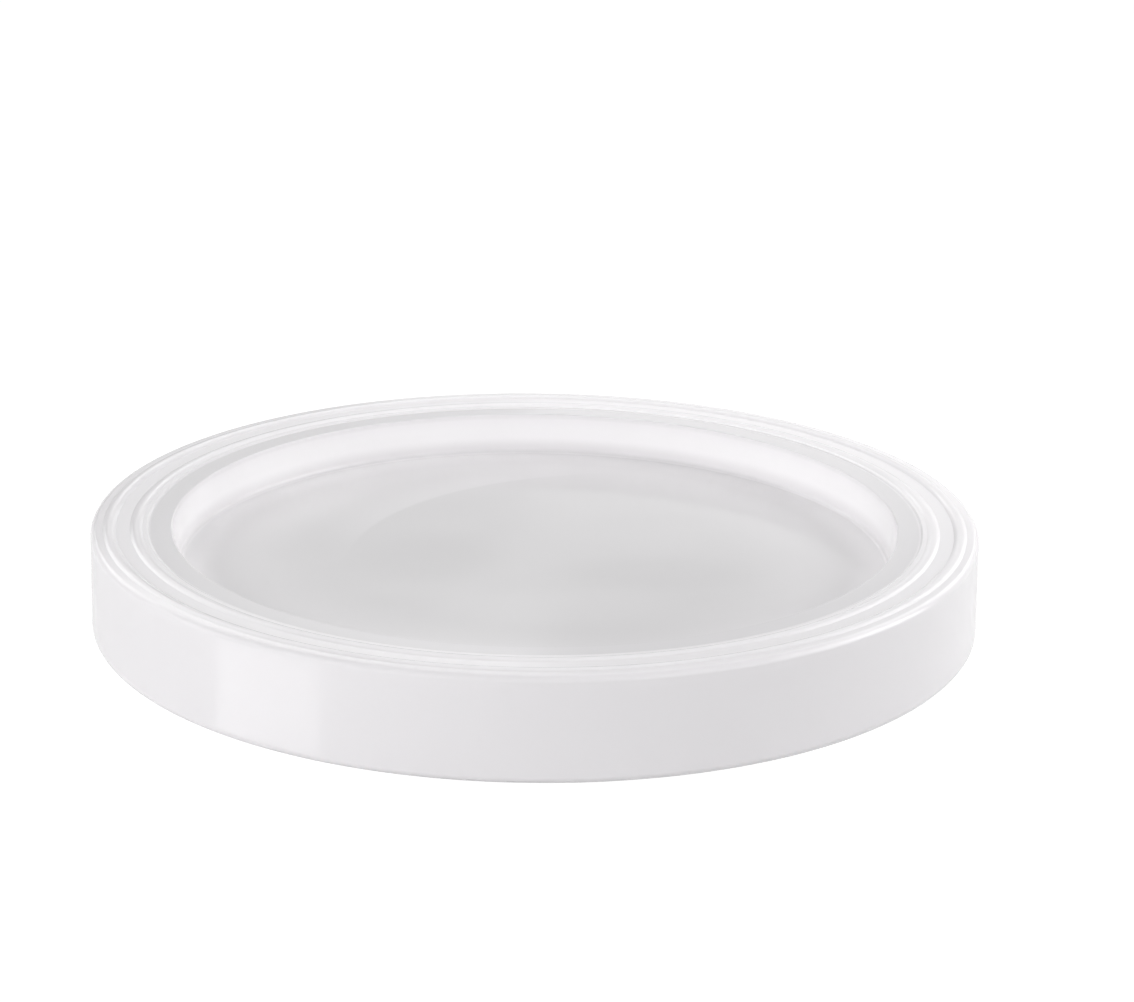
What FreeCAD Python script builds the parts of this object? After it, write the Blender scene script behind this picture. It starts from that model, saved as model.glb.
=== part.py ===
import FreeCAD
import Part
import Sketcher
import os
from enum import IntEnum, auto

# Carafe lid, moulded in one piece: a round cap with a drafted skirt, a top that steps down in
# two rings, each edged by a rounded bead, and a shallow dish in the middle. From below, the
# dish is a plug that enters the neck, the channel round it takes the rim of the glass, and a
# bead inside the skirt snaps under that rim.
#
# Frame: millimetres, +Z up, origin at the middle of the circle that the lid stands on.

# Every driving size, in millimetres, with what it means
SIZES = [
    ("outer_radius", 42.5, "skirt, at its top edge"),
    ("skirt_height", 9.8, "from the foot to the rim"),
    ("skirt_flare", 0.2, "how much wider the skirt is at its foot"),
    ("skirt_wall", 1.9, "skirt, at the channel's ceiling"),
    ("bore_flare", 0.15, "how much wider the skirt's inside is just above the snap bead"),
    ("rim_width", 2.2, "top, from the skirt's edge to the first step"),
    ("first_drop", 0.12, "first step down, from rim to band"),
    ("band_width", 3.1, "top, from the first step to the second"),
    ("second_drop", 0.12, "second step down, from band to ledge"),
    ("ledge_width", 2.38, "top, from the second step to the dish"),
    ("step_draft", 0.06, "how far a step's wall leans in towards its foot"),
    ("rim_bead_width", 1.06, "rounded bead on the rim, from the first step outwards"),
    ("rim_bead_rise", 0.12, "height of the rim's bead"),
    ("band_bead_width", 1.2, "rounded bead on the band"),
    ("band_bead_rise", 0.12, "height of the band's bead"),
    ("band_bead_inset", 0.4, "from the second step to the band's bead"),
    ("bead_root", 0.4, "how deep a bead is rooted in the wall under it"),
    ("dish_depth", 4.1, "from the ledge down to the dish's floor"),
    ("dish_taper", 0.52, "how much narrower the dish is at its floor"),
    ("floor_wall", 1.4, "floor of the dish"),
    ("ceiling_wall", 1.4, "between the ledge and the channel"),
    ("plug_wall", 1.18, "side of the dish, at its mouth"),
    ("snap_height", 2.2, "crest of the snap bead above the foot"),
    ("snap_reach", 0.6, "how far the crest stands in from the skirt's inside"),
    ("snap_catch", 0.6, "height of the steep face above the crest, which holds the rim"),
    ("lead_in", 0.7, "how much wider the opening is at the foot than at the crest"),
    ("gate_radius", 2.5, "dimple round the moulding gate, under the floor"),
    ("gate_depth", 0.25, "depth of that dimple"),
    ("edge_round", 0.45, "radius of the skirt's top outer edge"),
    ("floor_round", 1.2, "radius of the corner between the dish's wall and floor"),
    ("foot_bevel", 0.5, "bevel on the outer edge of the foot"),
    ("mouth_bevel", 0.12, "bevel where the ledge meets the dish"),
    ("plug_bevel", 0.7, "bevel on the lower edge of the plug"),
]

# Places that follow from the sizes, as expressions on the sheet
FIRST_STEP = "Sizes.outer_radius - Sizes.rim_width"
SECOND_STEP = f"{FIRST_STEP} - Sizes.band_width"
DISH_MOUTH = f"{SECOND_STEP} - Sizes.ledge_width"
DISH_FLOOR_RADIUS = f"{DISH_MOUTH} - Sizes.dish_taper"
PLUG_RADIUS = f"{DISH_MOUTH} + Sizes.plug_wall"
BORE_RADIUS = "Sizes.outer_radius - Sizes.skirt_wall"
BORE_FOOT_RADIUS = f"{BORE_RADIUS} + Sizes.bore_flare"
CREST_RADIUS = f"{BORE_FOOT_RADIUS} - Sizes.snap_reach"
RIM_LEVEL = "Sizes.skirt_height"
BAND_LEVEL = f"{RIM_LEVEL} - Sizes.first_drop"
LEDGE_LEVEL = f"{BAND_LEVEL} - Sizes.second_drop"
FLOOR_LEVEL = f"{LEDGE_LEVEL} - Sizes.dish_depth"
PLUG_FOOT = f"{FLOOR_LEVEL} - Sizes.floor_wall"
CEILING = f"{LEDGE_LEVEL} - Sizes.ceiling_wall"

# Marks a corner that lies on the lid's axis, or on the plane of its foot
ON_AXIS = None
ON_FOOT = None


class End(IntEnum):
    """The two ends of a line or an arc, as a sketch counts them."""

    START = auto()
    FINISH = auto()


class Axis(IntEnum):
    """A sketch's own two axes, as it counts them."""

    ACROSS = -1
    UP = -2


ORIGIN = (Axis.ACROSS, End.START)


def fill_sheet(doc):
    """Put every driving size on a sheet, one row each: its name, its value and its note."""
    sheet = doc.addObject("Spreadsheet::Sheet", "Sizes")
    for row, (alias, value, note) in enumerate(SIZES, start=1):
        sheet.set(f"A{row}", alias)
        sheet.set(f"B{row}", str(value))
        sheet.set(f"C{row}", note)
        sheet.setAlias(f"B{row}", alias)
    doc.recompute()
    return sheet


def origin_plane(body, role):
    """One of the body's own origin planes, by its role."""
    return next(item for item in body.Origin.OriginFeatures if item.Role == role)


def half_plane_sketch(body, name):
    """An empty sketch on the plane through the lid's axis: across is radius, up is height."""
    sketch = body.newObject("Sketcher::SketchObject", name)
    sketch.AttachmentSupport = (origin_plane(body, "XZ_Plane"), [""])
    sketch.MapMode = "FlatFace"
    return sketch


def size_of(sketch, expression):
    """The number that an expression on the sheet gives now."""
    return 0.0 if expression is None else float(sketch.evalExpression(expression))


def pin(sketch, point, name, radius, height):
    """Hold one point of a sketch at a radius and a height, each bound to the sheet."""
    for kind, axis, expression, word in (
        ("DistanceX", Axis.UP, radius, "radius"),
        ("DistanceY", Axis.ACROSS, height, "height"),
    ):
        if expression is None:
            sketch.addConstraint(Sketcher.Constraint("PointOnObject", *point, axis))
            continue
        value = size_of(sketch, expression)
        index = sketch.addConstraint(Sketcher.Constraint(kind, *ORIGIN, *point, value))
        sketch.renameConstraint(index, f"{name}_{word}")
        sketch.setExpression(f"Constraints.{name}_{word}", expression)


def join(sketch, first, second):
    """Make two points of a sketch one."""
    sketch.addConstraint(Sketcher.Constraint("Coincident", *first, *second))


def draw_outline(body, name, corners):
    """A closed outline of straight edges through named corners, each pinned to the sheet."""
    sketch = half_plane_sketch(body, name)
    points = [
        FreeCAD.Vector(size_of(sketch, radius), size_of(sketch, height), 0)
        for _, radius, height in corners
    ]
    count = len(corners)
    for index in range(count):
        sketch.addGeometry(Part.LineSegment(points[index], points[(index + 1) % count]))
    for index in range(count):
        following = (index + 1) % count
        join(sketch, (index, End.FINISH), (following, End.START))
    for index, (corner, radius, height) in enumerate(corners):
        pin(sketch, (index, End.START), corner, radius, height)
    return sketch


def turn(body, kind, name, sketch):
    """Turn a section once round the lid's axis, adding to the body or cutting from it."""
    feature = body.newObject(f"PartDesign::{kind}", name)
    feature.Profile = sketch
    feature.ReferenceAxis = (sketch, ["V_Axis"])
    feature.Angle = 360
    sketch.Visibility = False
    body.Document.recompute()
    return feature


def add_top_bead(body, name, inner_foot, width, rise, level):
    """A shallow rounded bead on the top: an arc over a root that is sunk into the wall."""
    sketch = half_plane_sketch(body, f"{name}_section")
    outer_foot = f"{inner_foot} + {width}"
    root = f"{level} - Sizes.bead_root"
    left, right = size_of(sketch, inner_foot), size_of(sketch, outer_foot)
    base, low = size_of(sketch, level), size_of(sketch, root)
    crest = base + size_of(sketch, rise)
    corners = [
        FreeCAD.Vector(left, base, 0),
        FreeCAD.Vector(left, low, 0),
        FreeCAD.Vector(right, low, 0),
        FreeCAD.Vector(right, base, 0),
    ]
    for start, end in zip(corners, corners[1:]):
        sketch.addGeometry(Part.LineSegment(start, end))
    top = FreeCAD.Vector((left + right) / 2, crest, 0)
    arc = sketch.addGeometry(Part.Arc(corners[3], top, corners[0]))
    side_in, bottom, side_out = 0, 1, 2
    join(sketch, (side_in, End.FINISH), (bottom, End.START))
    join(sketch, (bottom, End.FINISH), (side_out, End.START))
    join(sketch, (side_out, End.FINISH), (arc, End.START))
    join(sketch, (arc, End.FINISH), (side_in, End.START))
    pin(sketch, (side_in, End.START), "inner_foot", inner_foot, level)
    pin(sketch, (bottom, End.START), "inner_root", inner_foot, root)
    pin(sketch, (side_out, End.START), "outer_root", outer_foot, root)
    pin(sketch, (side_out, End.FINISH), "outer_foot", outer_foot, level)
    curve = f"(({width}) ^ 2 / 4 + ({rise}) ^ 2) / (2 * {rise})"
    index = sketch.addConstraint(Sketcher.Constraint("Radius", arc, size_of(sketch, curve)))
    sketch.renameConstraint(index, "curve")
    sketch.setExpression("Constraints.curve", curve)
    return turn(body, "Revolution", name, sketch)


def corner_edge(shape, sketch, corner):
    """The name of the circular edge that a corner of a section makes round the lid."""
    names = {item.Name for item in sketch.Constraints}
    radius = sketch.getDatum(f"{corner}_radius").Value
    height = 0.0
    if f"{corner}_height" in names:
        height = sketch.getDatum(f"{corner}_height").Value
    tolerance = 1e-4
    for number, edge in enumerate(shape.Edges, start=1):
        if not isinstance(edge.Curve, Part.Circle):
            continue
        off_radius = abs(edge.Curve.Radius - radius)
        off_height = abs(edge.Curve.Center.z - height)
        if off_radius < tolerance and off_height < tolerance:
            return f"Edge{number}"
    raise ValueError(f"no round edge at the corner {corner}")


def treat_edge(body, kind, name, sketch, corner, size):
    """Round or bevel the edge at one corner of a section, by a size on the sheet."""
    base = body.Tip
    feature = body.newObject(f"PartDesign::{kind}", name)
    feature.Base = (base, [corner_edge(base.Shape, sketch, corner)])
    feature.setExpression("Radius" if kind == "Fillet" else "Size", f"Sizes.{size}")
    body.Document.recompute()
    return feature


def make_lid(doc):
    """The whole lid: outside, underside, gate, rounded and bevelled edges, then the beads."""
    body = doc.addObject("PartDesign::Body", "lid")
    body.Label = "lid"

    outside = draw_outline(
        body,
        "outside_section",
        [
            ("foot_middle", ON_AXIS, ON_FOOT),
            ("foot", "Sizes.outer_radius + Sizes.skirt_flare", ON_FOOT),
            ("skirt_edge", "Sizes.outer_radius", RIM_LEVEL),
            ("first_step", FIRST_STEP, RIM_LEVEL),
            ("first_step_foot", f"{FIRST_STEP} - Sizes.step_draft", BAND_LEVEL),
            ("second_step", SECOND_STEP, BAND_LEVEL),
            ("second_step_foot", f"{SECOND_STEP} - Sizes.step_draft", LEDGE_LEVEL),
            ("dish_mouth", DISH_MOUTH, LEDGE_LEVEL),
            ("dish_corner", DISH_FLOOR_RADIUS, FLOOR_LEVEL),
            ("dish_middle", ON_AXIS, FLOOR_LEVEL),
        ],
    )
    turn(body, "Revolution", "outside", outside)

    underside = draw_outline(
        body,
        "underside_section",
        [
            ("hollow_middle", ON_AXIS, ON_FOOT),
            ("lead_in_foot", f"{CREST_RADIUS} + Sizes.lead_in", ON_FOOT),
            ("snap_crest", CREST_RADIUS, "Sizes.snap_height"),
            ("bore_foot", BORE_FOOT_RADIUS, "Sizes.snap_height + Sizes.snap_catch"),
            ("bore_top", BORE_RADIUS, CEILING),
            ("plug_top", PLUG_RADIUS, CEILING),
            ("plug_edge", PLUG_RADIUS, PLUG_FOOT),
            ("plug_middle", ON_AXIS, PLUG_FOOT),
        ],
    )
    turn(body, "Groove", "underside", underside)

    gate = draw_outline(
        body,
        "gate_section",
        [
            ("gate_low", ON_AXIS, PLUG_FOOT),
            ("gate_edge", "Sizes.gate_radius", PLUG_FOOT),
            ("gate_corner", "Sizes.gate_radius", f"{PLUG_FOOT} + Sizes.gate_depth"),
            ("gate_top", ON_AXIS, f"{PLUG_FOOT} + Sizes.gate_depth"),
        ],
    )
    turn(body, "Groove", "gate_dimple", gate)

    for kind, name, sketch, corner, size in (
        ("Fillet", "edge_rounding", outside, "skirt_edge", "edge_round"),
        ("Fillet", "floor_rounding", outside, "dish_corner", "floor_round"),
        ("Chamfer", "foot_bevel", outside, "foot", "foot_bevel"),
        ("Chamfer", "mouth_bevel", outside, "dish_mouth", "mouth_bevel"),
        ("Chamfer", "plug_bevel", underside, "plug_edge", "plug_bevel"),
    ):
        treat_edge(body, kind, name, sketch, corner, size)

    add_top_bead(
        body,
        "rim_bead",
        FIRST_STEP,
        "Sizes.rim_bead_width",
        "Sizes.rim_bead_rise",
        RIM_LEVEL,
    )
    add_top_bead(
        body,
        "band_bead",
        f"{SECOND_STEP} + Sizes.band_bead_inset",
        "Sizes.band_bead_width",
        "Sizes.band_bead_rise",
        BAND_LEVEL,
    )
    return body


def check(doc, bodies):
    """Stop if any object failed, or any finished solid is empty or not valid."""
    for item in doc.Objects:
        if {"Invalid", "Error"} & set(item.State):
            raise RuntimeError(f"{item.Name} failed: {item.State}")
    for body in bodies:
        shape = body.Shape
        if shape.isNull() or not shape.isValid() or len(shape.Solids) != 1:
            raise RuntimeError(f"{body.Label} is not one valid solid")


def main():
    """Make the document, check it and write each body's solid to its own file."""
    doc = FreeCAD.newDocument("carafe_lid")
    fill_sheet(doc)
    bodies = [make_lid(doc)]
    doc.recompute()
    check(doc, bodies)
    os.makedirs("parts", exist_ok=True)
    for body in bodies:
        body.Shape.exportStep(f"parts/{body.Label}.step")
        box = body.Shape.optimalBoundingBox(True, False)
        print(
            f"{body.Label}: {box.XLength:.2f} x {box.YLength:.2f} x {box.ZLength:.2f} mm,"
            f" {body.Shape.Volume / 1000:.2f} cm3"
        )


main()
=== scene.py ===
import logging
import math
from dataclasses import dataclass, field
from enum import Enum
from typing import Any, Iterable, Mapping, Optional, Sequence, Union

import bmesh
import bpy
from mathutils import Matrix, Vector


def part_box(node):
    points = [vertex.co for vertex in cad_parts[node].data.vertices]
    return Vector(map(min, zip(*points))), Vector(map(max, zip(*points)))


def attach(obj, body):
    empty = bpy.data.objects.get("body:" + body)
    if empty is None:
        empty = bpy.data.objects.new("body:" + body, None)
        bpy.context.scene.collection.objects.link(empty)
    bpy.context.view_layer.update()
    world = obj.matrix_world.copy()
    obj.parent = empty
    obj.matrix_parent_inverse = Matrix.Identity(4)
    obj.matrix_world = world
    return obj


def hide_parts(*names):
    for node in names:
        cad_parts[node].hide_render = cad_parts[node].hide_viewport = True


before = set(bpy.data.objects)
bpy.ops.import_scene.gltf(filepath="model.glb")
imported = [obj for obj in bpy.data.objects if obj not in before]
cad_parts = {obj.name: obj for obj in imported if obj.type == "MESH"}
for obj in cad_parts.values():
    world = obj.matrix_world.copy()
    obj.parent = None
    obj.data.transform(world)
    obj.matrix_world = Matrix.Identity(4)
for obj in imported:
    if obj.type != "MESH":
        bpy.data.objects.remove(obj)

# A white moulded carafe lid that lies on its skirt, on a pale floor under soft studio light.
# Lengths are in metres and the lid's axis is Z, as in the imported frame.

log = logging.getLogger("carafe_lid")

MM = 0.001
LID_NODE = "lid"

# The sockets of a Mix node that mixes colours, which also has some for numbers and vectors.
MIX_FACTOR = 0
MIX_FIRST = 6
MIX_SECOND = 7
MIX_RESULT = 2

Colour = tuple[float, float, float, float]
Span = tuple[float, float]
Number = Union[float, int, "Wire"]


# Shader boards and wires


@dataclass(frozen=True)
class Wire:
    """One output of a shader node, which takes part in arithmetic as a number would."""

    board: "Board"
    socket: Optional[bpy.types.NodeSocket]

    def _maths(self, operation: str, *terms: Number) -> "Wire":
        """Add one Math node.

        Args:
            operation: the node's operation, in Blender's word.
            terms: its inputs in order, wires or plain numbers.

        Returns:
            The node's result.
        """
        inputs = dict(enumerate(terms))
        return self.board.add("ShaderNodeMath", {"operation": operation}, inputs)

    def __add__(self, other: Number) -> "Wire":
        """This plus another."""
        return self._maths("ADD", self, other)

    def __radd__(self, other: Number) -> "Wire":
        """Another plus this."""
        return self._maths("ADD", other, self)

    def __sub__(self, other: Number) -> "Wire":
        """This less another."""
        return self._maths("SUBTRACT", self, other)

    def __rsub__(self, other: Number) -> "Wire":
        """Another less this."""
        return self._maths("SUBTRACT", other, self)

    def __mul__(self, other: Number) -> "Wire":
        """This times another."""
        return self._maths("MULTIPLY", self, other)

    def __rmul__(self, other: Number) -> "Wire":
        """Another times this."""
        return self._maths("MULTIPLY", other, self)

    def __pow__(self, other: Number) -> "Wire":
        """This to a power."""
        return self._maths("POWER", self, other)

    def at_least(self, other: Number) -> "Wire":
        """The larger of this and another."""
        return self._maths("MAXIMUM", self, other)

    def hypotenuse(self, other: "Wire") -> "Wire":
        """The long side of a right triangle whose short sides are this and another."""
        return (self * self + other * other) ** 0.5

    def between(self, low: float, high: float) -> "Wire":
        """How far this is from low to high, smoothly, from 0 to 1.

        Args:
            low: the value that gives 0.
            high: the value that gives 1.

        Returns:
            The smoothed share.
        """
        inputs = {"Value": self, "From Min": low, "From Max": high}
        settings = {"interpolation_type": "SMOOTHSTEP"}
        return self.board.add("ShaderNodeMapRange", settings, inputs)


@dataclass(frozen=True)
class Place:
    """Where a shaded point lies on the lid, as wires in metres."""

    vector: Wire
    across: Wire
    along: Wire
    height: Wire
    radius: Wire


class Ray(Enum):
    """A kind of ray that a Light Path node tells from the others, by its socket's name."""

    CAMERA = "Is Camera Ray"
    GLOSSY = "Is Glossy Ray"
    TRANSMISSION = "Is Transmission Ray"


class Board:
    """A node tree of a material or a world, to which nodes are added one by one."""

    def __init__(self, tree: bpy.types.NodeTree) -> None:
        """Clear the tree and keep it."""
        self.tree = tree
        tree.nodes.clear()

    def add(
        self,
        kind: str,
        settings: Optional[Mapping[str, Any]] = None,
        inputs: Optional[Mapping[Union[str, int], Any]] = None,
        output: Union[str, int] = 0,
    ) -> Wire:
        """Add one node.

        Args:
            kind: the node's type name.
            settings: the node's own options, set before its sockets.
            inputs: values or wires for its sockets, by name or number.
            output: the socket that is given back, by name or number.

        Returns:
            The output's wire.
        """
        node = self.tree.nodes.new(kind)
        for name, value in (settings or {}).items():
            setattr(node, name, value)
        for name, value in (inputs or {}).items():
            if isinstance(value, Wire):
                self.tree.links.new(value.socket, node.inputs[name])
            else:
                node.inputs[name].default_value = value
        return Wire(self, node.outputs[output] if node.outputs else None)

    def place(self) -> Place:
        """Find where the shaded point lies.

        Returns:
            Its place in the piece's own frame.
        """
        vector = self.add("ShaderNodeTexCoord", output="Object")
        across, along, height = (
            self.add("ShaderNodeSeparateXYZ", inputs={0: vector}, output=axis) for axis in "XYZ"
        )
        return Place(vector, across, along, height, across.hypotenuse(along))

    def any_ray(self, *kinds: Ray) -> Wire:
        """Mark a ray that is of one of some kinds.

        Args:
            kinds: the kinds of ray.

        Returns:
            1 for a ray of one of them, else 0.
        """
        marks = [self.add("ShaderNodeLightPath", output=kind.value) for kind in kinds]
        found = marks[0]
        for mark in marks[1:]:
            found = found.at_least(mark)
        return found

    def mix_colours(self, factor: Number, first: Any, second: Any) -> Wire:
        """Mix two colours.

        Args:
            factor: the share of the second.
            first: a colour or a wire.
            second: a colour or a wire.

        Returns:
            The mixed colour.
        """
        inputs = {MIX_FACTOR: factor, MIX_FIRST: first, MIX_SECOND: second}
        return self.add("ShaderNodeMix", {"data_type": "RGBA"}, inputs, output=MIX_RESULT)

    def finish(self, surface: Wire, kind: str = "ShaderNodeOutputMaterial") -> None:
        """Join a shader to the tree's output."""
        self.add(kind, inputs={"Surface": surface})


def grey(level: float) -> Colour:
    """A neutral colour of one linear level."""
    return (level, level, level, 1.0)


# Finishes


@dataclass(frozen=True)
class Grain:
    """A soft random pattern: the size of its patches, and how fine and how twisted it is."""

    size: float
    detail: float
    distortion: float = 0.0

    def value(self, place: Place) -> Wire:
        """Shade the pattern.

        Args:
            place: where the point lies.

        Returns:
            Its value there, which is 0.5 on average.
        """
        inputs = {
            "Vector": place.vector,
            "Scale": 1.0 / self.size,
            "Detail": self.detail,
            "Distortion": self.distortion,
        }
        return place.vector.board.add("ShaderNodeTexNoise", inputs=inputs)


@dataclass(frozen=True)
class Swirl:
    """A soft oval patch in the dish floor, lighter or darker than the rest, left by the melt.

    Its strength is full over the core, a share of its reach, and fades to 0 at its rim.
    """

    across: float
    along: float
    reach_across: float
    reach_along: float
    strength: float
    core: float = 0.3

    def mark(self, place: Place) -> Wire:
        """Shade the patch.

        Args:
            place: where the point lies.

        Returns:
            The patch's strength there.
        """
        wide = (place.across - self.across) * (1.0 / self.reach_across)
        deep = (place.along - self.along) * (1.0 / self.reach_along)
        return (1.0 - wide.hypotenuse(deep).between(self.core, 1.0)) * self.strength


@dataclass(frozen=True)
class FlowLine:
    """The curved line where two flows of the melt met: a light streak with a sharp inner side.

    The line is an arc, and is seen only where the patch lies over it.
    """

    across: float = 10.5 * MM
    along: float = -1.5 * MM
    radius: float = 29.0 * MM
    sharp: float = 0.6 * MM
    faded: float = 5.0 * MM
    patch: Swirl = Swirl(-10.0 * MM, 17.0 * MM, 24.0 * MM, 20.0 * MM, 0.5)

    def mark(self, place: Place) -> Wire:
        """Shade the line.

        Args:
            place: where the point lies.

        Returns:
            The line's strength there.
        """
        far = (place.across - self.across).hypotenuse(place.along - self.along)
        inner = far.between(self.radius - self.sharp, self.radius)
        outer = 1.0 - far.between(self.radius, self.radius + self.faded)
        return inner * outer * self.patch.mark(place)


@dataclass(frozen=True)
class LidPlastic:
    """Glossy white moulded plastic: the swirls of the melt, and painted light and shade by
    region.
    """

    colour: Colour = (0.862, 0.846, 0.864, 1.0)
    # Painted light: the top and the skirt's upper edge are painted lighter, for the light that
    # falls on the top.
    painted_lit_top_colour: Colour = (0.9, 0.883, 0.902, 1.0)
    painted_lit_top_heights: Span = (9.2 * MM, 9.65 * MM)
    # Painted shade: the ledge inside the second step is painted greyer than the rings round it.
    painted_shade_ledge_colour: Colour = (0.745, 0.732, 0.747, 1.0)
    painted_shade_ledge_heights: Span = (8.9 * MM, 9.2 * MM)
    ledge_radius: float = 36.75 * MM
    mouth_radius: float = 34.9 * MM
    edge_blend: float = 0.3 * MM
    # Painted light: the dish wall is painted brighter; painted shade: its foot is painted greyer.
    painted_lit_wall_colour: Colour = (0.94, 0.925, 0.94, 1.0)
    painted_shade_foot_colour: Colour = (0.81, 0.796, 0.81, 1.0)
    painted_shade_foot_heights: Span = (5.9 * MM, 7.2 * MM)
    floor_height: float = 5.47 * MM
    floor_blend: float = 0.1 * MM
    # Painted bounce light: the dish floor is painted lighter in the corner by the wall.
    painted_bounce_corner_colour: Colour = (0.95, 0.935, 0.95, 1.0)
    painted_bounce_corner_radii: Span = (30.0 * MM, 33.9 * MM)
    # Painted bounce light: the dish floor turns lighter towards the wall; the melt's flow line
    # takes the same colour.
    painted_bounce_and_flow_colour: Colour = (0.79, 0.776, 0.79, 1.0)
    painted_bounce_border_radii: Span = (18.0 * MM, 31.0 * MM)
    light_colour: Colour = (0.715, 0.704, 0.715, 1.0)
    dark_colour: Colour = (0.64, 0.63, 0.64, 1.0)
    clouds: Grain = Grain(size=30.0 * MM, detail=1.5, distortion=1.4)
    cloud_level: float = 0.3
    cloud_swing: float = 0.4
    swirls: tuple[Swirl, ...] = (
        Swirl(-10.5 * MM, 0.0 * MM, 9.5 * MM, 11.0 * MM, -0.45),
        Swirl(12.0 * MM, -4.0 * MM, 13.0 * MM, 6.5 * MM, -0.35),
        Swirl(-27.0 * MM, 5.0 * MM, 11.0 * MM, 10.0 * MM, -0.35),
        Swirl(3.0 * MM, -14.0 * MM, 17.0 * MM, 7.0 * MM, 0.3),
        Swirl(-12.0 * MM, -16.0 * MM, 11.0 * MM, 8.0 * MM, -0.25),
        Swirl(18.0 * MM, 7.0 * MM, 18.0 * MM, 6.0 * MM, 0.15),
    )
    flow_line: FlowLine = FlowLine()
    roughness: float = 0.16
    roughness_swing: float = 0.06
    drift: Grain = Grain(size=30.0 * MM, detail=3.0)
    drift_mean: float = 0.5
    waves: Grain = Grain(size=1.6 * MM, detail=2.0)
    wave_depth: float = 0.002 * MM
    refraction: float = 1.5
    milkiness: float = 0.3
    milk_reach: float = 0.8 * MM
    milk_spread: tuple[float, float, float] = (1.0, 1.0, 1.0)

    def make(self) -> bpy.types.Material:
        """Build the material.

        Returns:
            The finished material.
        """
        material = bpy.data.materials.new("white_moulded_plastic")
        material.use_nodes = True
        board = Board(material.node_tree)
        place = board.place()
        shader = board.add(
            "ShaderNodeBsdfPrincipled",
            inputs={
                "Base Color": self._tone(board, place),
                "Roughness": self._sheen(place),
                "IOR": self.refraction,
                "Subsurface Weight": self.milkiness,
                "Subsurface Radius": self.milk_spread,
                "Subsurface Scale": self.milk_reach,
                "Normal": self._ripple(board, place),
            },
        )
        board.finish(shader)
        return material

    def _tone(self, board: Board, place: Place) -> Wire:
        """The colour: the dish's within its mouth, round it white with painted light and shade.

        Args:
            board: the material's board.
            place: where the point lies.

        Returns:
            The colour.
        """
        past_mouth = place.radius.between(self.mouth_radius - self.edge_blend, self.mouth_radius)
        past_ledge = place.radius.between(self.ledge_radius, self.ledge_radius + self.edge_blend)
        # Painted shade on the ledge, and painted light on the top and the skirt's upper edge.
        painted_ledge_shade = past_mouth * (1.0 - past_ledge) * place.height.between(*self.painted_shade_ledge_heights)
        painted_light_upward = place.height.between(*self.painted_lit_top_heights)
        top = board.mix_colours(painted_light_upward, self.colour, self.painted_lit_top_colour)
        rings = board.mix_colours(painted_ledge_shade, top, self.painted_shade_ledge_colour)
        return board.mix_colours(past_mouth, self._dish_tone(board, place), rings)

    def _dish_tone(self, board: Board, place: Place) -> Wire:
        """The dish's colour: painted light on the wall and the floor by it, painted shade at its
        foot.

        Args:
            board: the material's board.
            place: where the point lies.

        Returns:
            The colour.
        """
        # Painted bounce light: the floor turns lighter outwards towards the wall.
        outward = place.radius.between(*self.painted_bounce_corner_radii)
        floor = board.mix_colours(outward, self._melt_tone(board, place), self.painted_bounce_corner_colour)
        # Painted shade at the wall's foot, painted light above it.
        painted_light_upward = place.height.between(*self.painted_shade_foot_heights)
        wall = board.mix_colours(painted_light_upward, self.painted_shade_foot_colour, self.painted_lit_wall_colour)
        above = place.height.between(self.floor_height, self.floor_height + self.floor_blend)
        return board.mix_colours(above, floor, wall)

    def _melt_tone(self, board: Board, place: Place) -> Wire:
        """The dish floor's colour: the melt's clouds, swirls and line, and a border of painted
        bounce light.

        Args:
            board: the material's board.
            place: where the point lies.

        Returns:
            The colour.
        """
        marks = self.cloud_level + self.cloud_swing * self.clouds.value(place)
        for swirl in self.swirls:
            marks = marks + swirl.mark(place)
        melt = board.mix_colours(marks, self.dark_colour, self.light_colour)
        # Painted bounce light towards the wall, plus the melt's flow line, which shares its
        # colour.
        lighter = place.radius.between(*self.painted_bounce_border_radii) + self.flow_line.mark(place)
        return board.mix_colours(lighter, melt, self.painted_bounce_and_flow_colour)

    def _sheen(self, place: Place) -> Wire:
        """The roughness, which drifts a little from place to place."""
        return self.roughness + self.roughness_swing * (self.drift.value(place) - self.drift_mean)

    def _ripple(self, board: Board, place: Place) -> Wire:
        """The faint waviness that a mould leaves in gloss, as a normal."""
        inputs = {"Strength": 1.0, "Distance": self.wave_depth, "Height": self.waves.value(place)}
        return board.add("ShaderNodeBump", inputs=inputs)


@dataclass(frozen=True)
class PaleFloor:
    """A pale floor that reads as white to the eye and in gloss, and still takes a shadow."""

    colour: float = 0.75
    glow: float = 1.0
    seen_glow: float = 1.25
    lit_share: float = 0.25

    def make(self) -> bpy.types.Material:
        """Build the material.

        Returns:
            The finished material.
        """
        material = bpy.data.materials.new("pale_floor")
        material.use_nodes = True
        board = Board(material.node_tree)
        lit = board.add("ShaderNodeBsdfDiffuse", inputs={"Color": grey(self.colour)})
        strength = self.glow + (self.seen_glow - self.glow) * board.any_ray(Ray.CAMERA)
        glow = board.add("ShaderNodeEmission", inputs={"Strength": strength})
        share = board.any_ray(*Ray) * (1.0 - self.lit_share)
        board.finish(board.add("ShaderNodeMixShader", inputs={0: share, 1: lit, 2: glow}))
        return material


def glowing(name: str, level: float) -> bpy.types.Material:
    """Build a material that only glows, evenly and in white.

    Args:
        name: the material's name.
        level: how brightly it glows, where 1 is white.

    Returns:
        The finished material.
    """
    material = bpy.data.materials.new(name)
    material.use_nodes = True
    board = Board(material.node_tree)
    board.finish(board.add("ShaderNodeEmission", inputs={"Strength": level}))
    return material


# The lid's form


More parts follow.
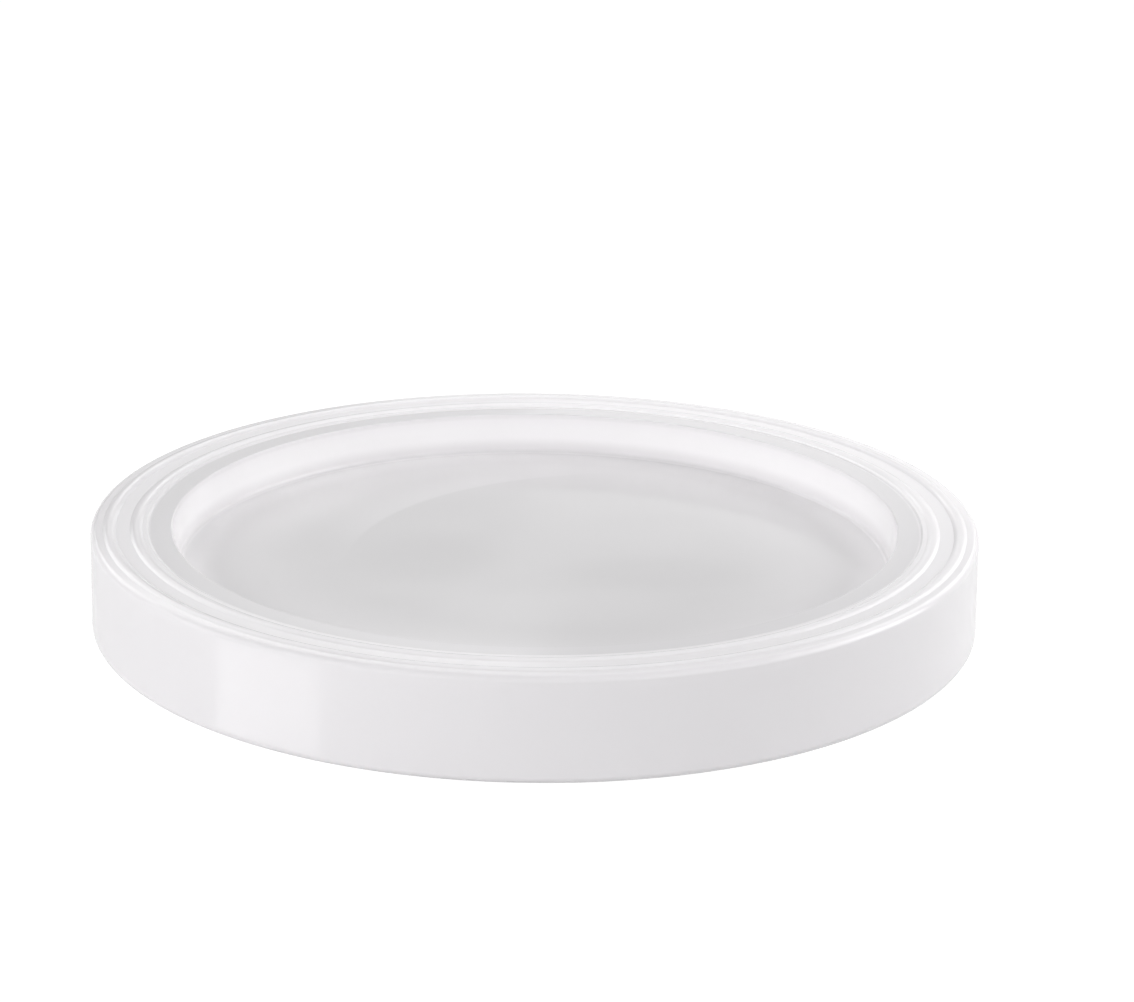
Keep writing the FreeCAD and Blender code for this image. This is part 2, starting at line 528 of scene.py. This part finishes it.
@dataclass(frozen=True)
class Corner:
    """A corner of the lid's section, with the radius that rounds it.

    A rise above 0 turns the stretch to the next corner into an arc of that height.
    """

    radius: float
    height: float
    rounding: float = 0.0
    rise: float = 0.0

    @property
    def spot(self) -> Vector:
        """The corner as a point of the section's plane."""
        return Vector((self.radius, self.height))


@dataclass(frozen=True)
class Section:
    """A closed section through half of a turned body, sampled as points."""

    corners: tuple[Corner, ...]
    arc_step: float = math.radians(7.5)
    fewest_steps: int = 2
    guard: float = 0.05 * MM
    guard_share: float = 0.15
    longest: float = 9.0 * MM

    def points(self) -> list[Vector]:
        """The section's points in order, with arcs and guard points beside them.

        Returns:
            One point for each ring of the turned mesh.
        """
        found: list[Vector] = []
        count = len(self.corners)
        for index, corner in enumerate(self.corners):
            before = self.corners[index - 1].spot
            after = self.corners[(index + 1) % count].spot
            found += self._corner_points(before, corner, after)
            if corner.rise:
                found += self._arc_points(corner.spot, after, corner.rise)
        return self._with_long_runs_cut(found)

    def _steps(self, sweep: float) -> int:
        """Into how many steps an arc is cut."""
        return max(self.fewest_steps, math.ceil(sweep / self.arc_step))

    def _corner_points(self, before: Vector, corner: Corner, after: Vector) -> list[Vector]:
        """A corner's own points: itself if it is sharp, else its arc and two guards.

        Args:
            before: the corner before it.
            corner: the corner.
            after: the corner after it.

        Returns:
            The points in order.
        """
        if not corner.rounding:
            return [corner.spot]
        back = (before - corner.spot).normalized()
        ahead = (after - corner.spot).normalized()
        half = back.angle(ahead) / 2
        reach = corner.rounding / math.tan(half)
        middle = corner.spot + (back + ahead).normalized() * (corner.rounding / math.sin(half))
        start = corner.spot + back * reach
        end = corner.spot + ahead * reach
        sweep = math.pi - 2 * half
        steps = self._steps(sweep)
        turn_left = back.x * ahead.y - back.y * ahead.x < 0
        turn = sweep if turn_left else -sweep
        arc = [
            middle + Matrix.Rotation(turn * step / steps, 2) @ (start - middle)
            for step in range(steps + 1)
        ]
        guard = min(self.guard, self.guard_share * corner.rounding)
        return [start + back * guard, *arc, end + ahead * guard]

    def _arc_points(self, start: Vector, end: Vector, rise: float) -> list[Vector]:
        """The points inside a shallow arc that stands on the run from one corner to the next.

        Such an arc makes a bead, and is cut twice as finely as a rounded corner.

        Args:
            start: where the arc begins.
            end: where it ends.
            rise: how high it stands.

        Returns:
            The points between the two ends.
        """
        chord = end - start
        radius = (chord.length**2 / 4 + rise**2) / (2 * rise)
        sweep = 2 * math.asin(chord.length / 2 / radius)
        outward = Vector((-chord.y, chord.x)).normalized()
        middle = (start + end) / 2 + outward * (rise - radius)
        steps = 2 * self._steps(sweep)
        return [
            middle + Matrix.Rotation(-sweep * step / steps, 2) @ (start - middle)
            for step in range(1, steps)
        ]

    def _with_long_runs_cut(self, points: list[Vector]) -> list[Vector]:
        """Add points so that no straight run is longer than the longest allowed.

        Args:
            points: the section's points.

        Returns:
            The same outline with its long runs divided, apart from runs on the axis.
        """
        cut: list[Vector] = []
        for here, there in zip(points, points[1:] + points[:1]):
            cut.append(here)
            on_axis = max(here.x, there.x) < self.guard
            pieces = 1 if on_axis else math.ceil((there - here).length / self.longest)
            cut += [here.lerp(there, step / pieces) for step in range(1, pieces)]
        return cut


@dataclass
class MouldedLid:
    """The lid's one moulding: skirt, stepped top, beads, dish, plug, channel and snap bead."""

    plastic: LidPlastic = field(default_factory=LidPlastic)
    segments: int = 400
    crease: float = math.radians(17.0)
    axis_reach: float = 1e-9
    skirt_flare: float = 0.2 * MM
    foot_rounding: float = 0.7 * MM
    edge_rounding: float = 0.6 * MM
    rim_width: float = 2.2 * MM
    rim_slope: float = 0.04 * MM
    band_width: float = 3.1 * MM
    ledge_width: float = 2.38 * MM
    step_drop: float = 0.12 * MM
    step_draft: float = 0.2 * MM
    step_rounding: float = 0.08 * MM
    rim_bead_width: float = 1.06 * MM
    rim_bead_rise: float = 0.12 * MM
    band_bead_width: float = 1.2 * MM
    band_bead_rise: float = 0.12 * MM
    band_bead_inset: float = 0.4 * MM
    dish_depth: float = 4.1 * MM
    dish_taper: float = 0.52 * MM
    mouth_rounding: float = 0.15 * MM
    floor_rounding: float = 0.5 * MM
    floor_wall: float = 1.4 * MM
    ceiling_wall: float = 1.4 * MM
    plug_wall: float = 1.18 * MM
    plug_rounding: float = 0.8 * MM
    skirt_wall: float = 1.9 * MM
    bore_flare: float = 0.15 * MM
    snap_height: float = 2.2 * MM
    snap_reach: float = 0.6 * MM
    snap_catch: float = 0.6 * MM
    snap_rounding: float = 0.3 * MM
    lead_in: float = 0.7 * MM
    inner_rounding: float = 0.2 * MM
    gate_radius: float = 2.5 * MM
    gate_depth: float = 0.25 * MM
    gate_rounding: float = 0.1 * MM

    def corners(self) -> tuple[Corner, ...]:
        """The section's corners, from the middle of the dish outwards and back underneath.

        Returns:
            The corners, clockwise in the plane of radius and height.
        """
        low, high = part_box(LID_NODE)
        foot_radius = high.x
        edge = foot_radius - self.skirt_flare
        rim = high.z - self.rim_bead_rise
        band = rim - self.step_drop
        ledge = band - self.step_drop
        floor = ledge - self.dish_depth
        first_step = edge - self.rim_width
        second_step = first_step - self.band_width
        mouth = second_step - self.ledge_width
        band_bead = second_step + self.band_bead_inset
        ceiling = ledge - self.ceiling_wall
        plug = mouth + self.plug_wall
        plug_foot = floor - self.floor_wall
        bore = edge - self.skirt_wall
        bore_foot = bore + self.bore_flare
        crest = bore_foot - self.snap_reach
        return (
            Corner(0.0, floor),
            Corner(mouth - self.dish_taper, floor, self.floor_rounding),
            Corner(mouth, ledge, self.mouth_rounding),
            Corner(second_step - self.step_draft, ledge, self.step_rounding),
            Corner(second_step, band, self.step_rounding),
            Corner(band_bead, band, rise=self.band_bead_rise),
            Corner(band_bead + self.band_bead_width, band),
            Corner(first_step - self.step_draft, band, self.step_rounding),
            Corner(first_step, rim, rise=self.rim_bead_rise),
            Corner(first_step + self.rim_bead_width, rim),
            Corner(edge, rim - self.rim_slope, self.edge_rounding),
            Corner(foot_radius, low.z, self.foot_rounding),
            Corner(crest + self.lead_in, low.z, self.inner_rounding),
            Corner(crest, self.snap_height, self.snap_rounding),
            Corner(bore_foot, self.snap_height + self.snap_catch, self.snap_rounding),
            Corner(bore, ceiling, self.inner_rounding),
            Corner(plug, ceiling, self.inner_rounding),
            Corner(plug, plug_foot, self.plug_rounding),
            Corner(self.gate_radius, plug_foot, self.gate_rounding),
            Corner(self.gate_radius, plug_foot + self.gate_depth, self.gate_rounding),
            Corner(0.0, plug_foot + self.gate_depth),
        )

    def build(self) -> bpy.types.Object:
        """Dress the turned mesh and put it in the place of the solid.

        Returns:
            The lid's object.
        """
        mesh = self._turned_mesh()
        mesh.materials.append(self.plastic.make())
        lid = bpy.data.objects.new("moulded_lid", mesh)
        bpy.context.scene.collection.objects.link(lid)
        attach(lid, "root")
        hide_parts(LID_NODE)
        return lid

    def _turned_mesh(self) -> bpy.types.Mesh:
        """Turn the section round the axis, smooth but for its sharp corners.

        Returns:
            The closed mesh.
        """
        work = bmesh.new()
        loops = [self._ring(work, point) for point in Section(self.corners()).points()]
        for inner, outer in zip(loops, loops[1:]):
            self._join(work, inner, outer)
        bmesh.ops.recalc_face_normals(work, faces=work.faces)
        for face in work.faces:
            face.smooth = True
        for edge in work.edges:
            edge.smooth = edge.calc_face_angle(0.0) < self.crease
        mesh = bpy.data.meshes.new("moulded_lid")
        work.to_mesh(mesh)
        work.free()
        return mesh

    def _ring(self, work: bmesh.types.BMesh, point: Vector) -> list[bmesh.types.BMVert]:
        """One ring of vertices, or a single vertex where the section meets the axis.

        Args:
            work: the mesh being made.
            point: the section's point.

        Returns:
            The vertices round the axis.
        """
        if point.x < self.axis_reach:
            return [work.verts.new((0.0, 0.0, point.y))]
        turn = math.tau / self.segments
        return [
            work.verts.new(
                (point.x * math.cos(turn * step), point.x * math.sin(turn * step), point.y)
            )
            for step in range(self.segments)
        ]

    def _join(
        self,
        work: bmesh.types.BMesh,
        first: list[bmesh.types.BMVert],
        second: list[bmesh.types.BMVert],
    ) -> None:
        """Fill between two rings with faces.

        Args:
            work: the mesh being made.
            first: one ring, or one vertex.
            second: the next ring, or one vertex.
        """
        for step in range(self.segments):
            following = (step + 1) % self.segments
            if len(first) == 1:
                work.faces.new((first[0], second[step], second[following]))
            elif len(second) == 1:
                work.faces.new((first[step], second[0], first[following]))
            else:
                corners = (first[step], second[step], second[following], first[following])
                work.faces.new(corners)


# The studio


class Side(Enum):
    """Where a lamp stands, as the azimuth in degrees of its place round the lid."""

    RIGHT = 0.0
    BACK_RIGHT = 45.0
    BACK = 90.0
    BACK_LEFT = 135.0
    LEFT = 180.0
    FRONT_LEFT = 225.0
    FRONT_RIGHT = 315.0


class LampHead(Enum):
    """A lamp's build: how far from the lid it stands, and its face's width and height."""

    BROAD = (1.0, 0.8, 0.6)
    NEAR = (0.18, 0.1, 0.1)
    PANEL = (1.5, 0.31, 0.105)


def direction(azimuth: float, elevation: float) -> Vector:
    """The way from the lid's middle towards a place round it.

    Args:
        azimuth: the place's turn round the lid, in degrees.
        elevation: its height over the floor, in degrees.

    Returns:
        A vector of length 1.
    """
    turn = math.radians(azimuth)
    lift = math.radians(elevation)
    outward = math.cos(lift)
    return Vector((math.cos(turn) * outward, math.sin(turn) * outward, math.sin(lift)))


def make_sheet(
    name: str,
    spots: Sequence[Sequence[float]],
    faces: Sequence[Sequence[int]],
    material: bpy.types.Material,
) -> bpy.types.Object:
    """Make an open sheet of a few faces and put it in the scene.

    Args:
        name: the sheet's name.
        spots: its vertices.
        faces: its faces, as the vertices' numbers.
        material: its material.

    Returns:
        The sheet's object.
    """
    mesh = bpy.data.meshes.new(name)
    mesh.from_pydata(spots, [], faces)
    mesh.materials.append(material)
    sheet = bpy.data.objects.new(name, mesh)
    bpy.context.scene.collection.objects.link(sheet)
    return sheet


def hide_but_in_gloss(piece: bpy.types.Object) -> None:
    """Leave a piece to glossy rays alone.

    Args:
        piece: the piece, which then neither lights nor shades anything.
    """
    piece.visible_camera = False
    piece.visible_diffuse = False
    piece.visible_shadow = False
    piece.visible_transmission = False


@dataclass(frozen=True)
class SoftLamp:
    """A soft lamp that faces the lid: its side, its angles in degrees and its power in watts.

    A lamp that isn't in gloss lights the lid without a highlight.
    """

    name: str
    side: Side
    elevation: float
    head: LampHead
    power: float
    turn: float = 0.0
    in_gloss: bool = True

    def build(self) -> bpy.types.Object:
        """Make the lamp.

        Returns:
            The lamp's object.
        """
        distance, width, height = self.head.value
        data = bpy.data.lights.new(self.name, "AREA")
        data.shape = "RECTANGLE"
        data.size = width
        data.size_y = height
        data.energy = self.power
        lamp = bpy.data.objects.new(self.name, data)
        way = direction(self.side.value + self.turn, self.elevation)
        lamp.location = way * distance
        lamp.rotation_mode = "QUATERNION"
        lamp.rotation_quaternion = way.to_track_quat("Z", "Y")
        lamp.visible_glossy = self.in_gloss
        bpy.context.scene.collection.objects.link(lamp)
        return lamp


@dataclass(frozen=True)
class GlossCard:
    """A card round the set that only gloss shows; it neither lights nor shades.

    Its azimuths and elevations are in degrees, and a level of 1 is as bright as the surround.
    """

    name: str
    azimuths: Span
    elevations: Span
    level: float
    distance: float = 1.6
    steps: int = 8

    def build(self) -> bpy.types.Object:
        """Make the card, bent round the lid.

        Returns:
            The card's object.
        """
        first, last = self.azimuths
        turns = [first + (last - first) * step / self.steps for step in range(self.steps + 1)]
        spots = [
            direction(turn, lift) * self.distance for turn in turns for lift in self.elevations
        ]
        faces = [(2 * n, 2 * n + 2, 2 * n + 3, 2 * n + 1) for n in range(self.steps)]
        card = make_sheet(self.name, spots, faces, glowing(self.name, self.level))
        hide_but_in_gloss(card)
        return card


@dataclass(frozen=True)
class WindowLight:
    """A patch of window light on the floor, which only the gloss of the skirt shows.

    Its corners go round the patch, as places on the floor across and along.
    """

    name: str = "window_light"
    corners: tuple[Span, ...] = (
        (-29.7 * MM, -32.7 * MM),
        (-25.0 * MM, -36.6 * MM),
        (-19.9 * MM, -39.8 * MM),
        (-40.0 * MM, -54.2 * MM),
        (-48.5 * MM, -44.9 * MM),
        (-54.6 * MM, -34.3 * MM),
    )
    faces: tuple[tuple[int, ...], ...] = ((0, 1, 4, 5), (1, 2, 3, 4))
    height: float = 0.05 * MM
    level: float = 2.05

    def build(self) -> bpy.types.Object:
        """Make the patch.

        Returns:
            The patch's object.
        """
        spots = [(across, along, self.height) for across, along in self.corners]
        patch = make_sheet(self.name, spots, self.faces, glowing(self.name, self.level))
        hide_but_in_gloss(patch)
        return patch


@dataclass(frozen=True)
class Studio:
    """The floor, the white surroundings, the window's patch, the cards and the lamps."""

    floor: PaleFloor = field(default_factory=PaleFloor)
    floor_reach: float = 3.0
    surround_level: float = 1.0
    window: WindowLight = field(default_factory=WindowLight)
    cards: tuple[GlossCard, ...] = (
        GlossCard("low_dark_card", azimuths=(94.0, 200.0), elevations=(2.0, 15.5), level=0.5),
        GlossCard("side_dark_card", azimuths=(101.5, 200.0), elevations=(15.5, 21.0), level=0.5),
        GlossCard("right_card", azimuths=(56.0, 77.0), elevations=(8.0, 18.0), level=1.45),
        GlossCard("overhead_card", azimuths=(76.0, 106.0), elevations=(32.0, 60.0), level=2.0),
    )
    lamps: tuple[SoftLamp, ...] = (
        SoftLamp("right", Side.RIGHT, 20.0, LampHead.BROAD, 4.75),
        SoftLamp("high_back", Side.BACK, 55.0, LampHead.BROAD, 2.0, in_gloss=False),
        SoftLamp("back_left", Side.BACK_LEFT, 20.0, LampHead.BROAD, 0.5),
        SoftLamp("left", Side.LEFT, 20.0, LampHead.BROAD, 0.8),
        SoftLamp("front_left", Side.FRONT_LEFT, 20.0, LampHead.BROAD, 7.6, in_gloss=False),
        SoftLamp("front_right", Side.FRONT_RIGHT, 20.0, LampHead.BROAD, 1.6),
        SoftLamp("near_right", Side.RIGHT, 35.0, LampHead.NEAR, 0.046),
        SoftLamp("near_back_right", Side.BACK_RIGHT, 35.0, LampHead.NEAR, 0.051),
        SoftLamp("near_back_left", Side.BACK_LEFT, 35.0, LampHead.NEAR, 0.041),
        SoftLamp("low_panel", Side.BACK, 16.0, LampHead.PANEL, 0.085, turn=-6.0),
        SoftLamp("high_panel", Side.BACK, 24.0, LampHead.PANEL, 0.215, turn=6.0),
    )

    def build_floor(self) -> bpy.types.Object:
        """Make the floor.

        Returns:
            The floor's object.
        """
        reach = self.floor_reach
        corners = [(-reach, -reach, 0), (reach, -reach, 0), (reach, reach, 0), (-reach, reach, 0)]
        floor = make_sheet("floor", corners, [(0, 1, 2, 3)], self.floor.make())
        return floor

    def build_surround(self) -> bpy.types.World:
        """Make the world: white to the eye and in gloss, and no light by itself.

        Returns:
            The world.
        """
        world = bpy.data.worlds.new("white_surround")
        world.use_nodes = True
        board = Board(world.node_tree)
        inputs = {"Color": grey(self.surround_level), "Strength": board.any_ray(*Ray)}
        background = board.add("ShaderNodeBackground", inputs=inputs)
        board.finish(background, kind="ShaderNodeOutputWorld")
        bpy.context.scene.world = world
        return world

    def build(self) -> list[bpy.types.Object]:
        """Make the floor, the surroundings and all that stands in them.

        Returns:
            The objects, in the order in which they are made.
        """
        floor = self.build_floor()
        self.build_surround()
        window = self.window.build()
        cards = [card.build() for card in self.cards]
        lamps = [lamp.build() for lamp in self.lamps]
        return [floor, window, *cards, *lamps]


@dataclass(frozen=True)
class PhotoCamera:
    """The camera that gives the photograph's view, in its 1134 by 1002 pixels.

    The focal length and the aim are in those pixels, the angles in radians, and the sensor's
    width in millimetres.
    """

    frame_width: float = 1134.0
    frame_height: float = 1002.0
    focal: float = 3049.2
    aim_across: float = 534.05
    aim_down: float = 610.35
    distance: float = 297.5 * MM
    elevation: float = 0.3541
    roll: float = 0.0104
    sensor: float = 36.0
    nearest: float = 0.01
    farthest: float = 20.0

    def build(self) -> bpy.types.Object:
        """Make the camera and give it to the scene.

        Returns:
            The camera's object.
        """
        data = bpy.data.cameras.new("camera")
        data.sensor_fit = "HORIZONTAL"
        data.sensor_width = self.sensor
        data.lens = self.focal * self.sensor / self.frame_width
        data.shift_x = (self.frame_width / 2 - self.aim_across) / self.frame_width
        data.shift_y = (self.aim_down - self.frame_height / 2) / self.frame_width
        data.clip_start = self.nearest
        data.clip_end = self.farthest
        camera = bpy.data.objects.new("camera", data)
        back = Vector((0.0, -math.cos(self.elevation), math.sin(self.elevation)))
        level_up = Vector((0.0, math.sin(self.elevation), math.cos(self.elevation)))
        level_right = Vector((1.0, 0.0, 0.0))
        right = level_right * math.cos(self.roll) + level_up * math.sin(self.roll)
        up = level_up * math.cos(self.roll) - level_right * math.sin(self.roll)
        turned = Matrix((right, up, back)).transposed()
        camera.matrix_world = Matrix.Translation(back * self.distance) @ turned.to_4x4()
        bpy.context.scene.collection.objects.link(camera)
        bpy.context.scene.camera = camera
        return camera


def main() -> None:
    """Build the lid, the studio and the camera."""
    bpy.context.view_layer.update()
    lid = MouldedLid().build()
    log.info("%s: %d faces", lid.name, len(lid.data.polygons))
    for piece in Studio().build():
        log.info("%s: %s of the studio", piece.name, piece.type.lower())
    camera = PhotoCamera().build()
    log.info("%s: %.1f mm lens", camera.name, camera.data.lens)
    bpy.context.scene.view_settings.view_transform = "Standard"


if __name__ == "__main__":
    logging.basicConfig(level=logging.INFO)
    main()
